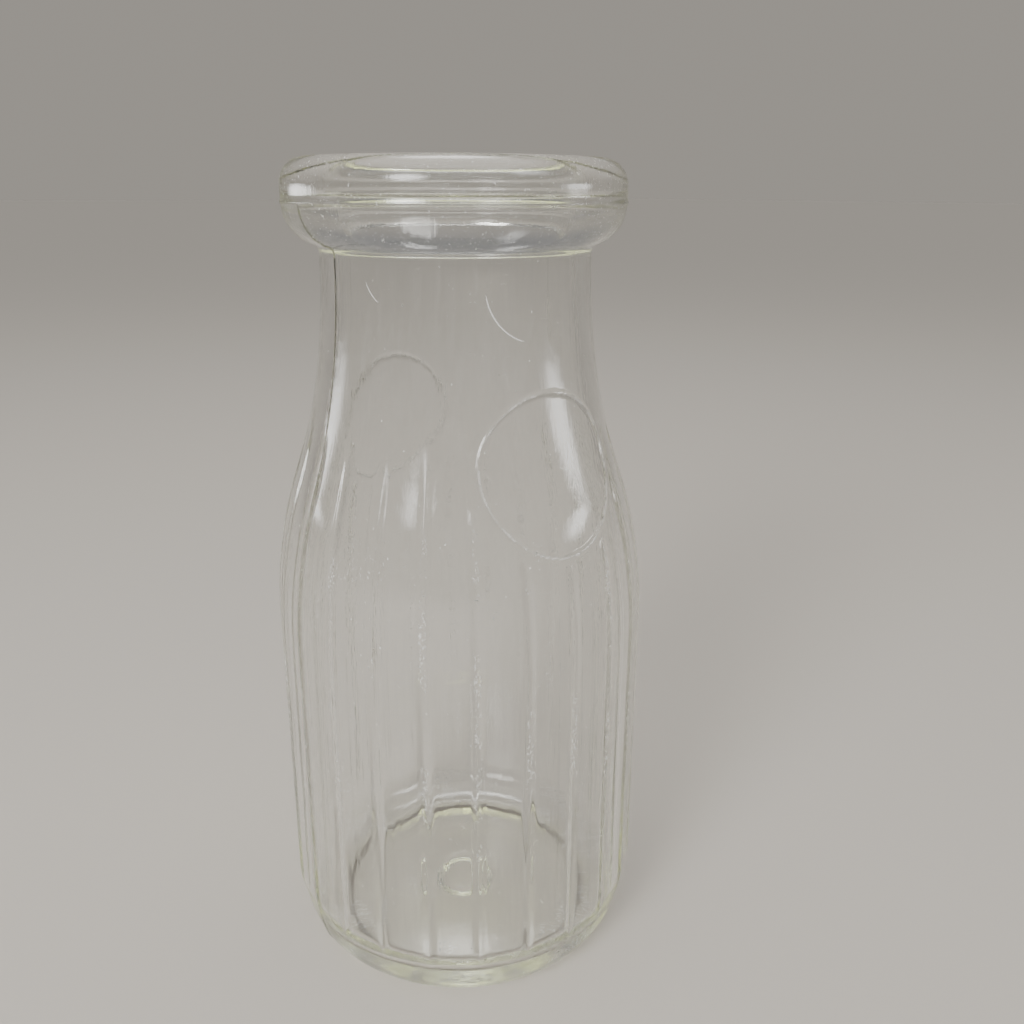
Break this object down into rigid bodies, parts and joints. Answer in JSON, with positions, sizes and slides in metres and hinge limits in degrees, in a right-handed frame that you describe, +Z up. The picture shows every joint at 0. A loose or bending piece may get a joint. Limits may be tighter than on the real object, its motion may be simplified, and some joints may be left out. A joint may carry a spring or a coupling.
{
  "type": "glass milk bottle",
  "caption": "Clear pressed-glass half-pint milk bottle with a heavy rolled lip, a ledge inside the mouth for a paper disc, upright ribs and two blank round plates on the shoulder.",
  "frame": {"origin": "centre of the ring that the base rests on, at table level", "axes": "+Z up along the bottle's axis, -Y and +Y out through the middles of the two round plates, +X and -X through the mould's side seams"},
  "size_m": [0.064, 0.064, 0.1375],
  "materials": {
    "clear_glass": "clear, slightly straw-tinted pressed glass with fine scuffs on the ribs"
  },
  "bodies": {
    "root": {"glass_bottle": "clear_glass"}
  },
  "joints": []
}
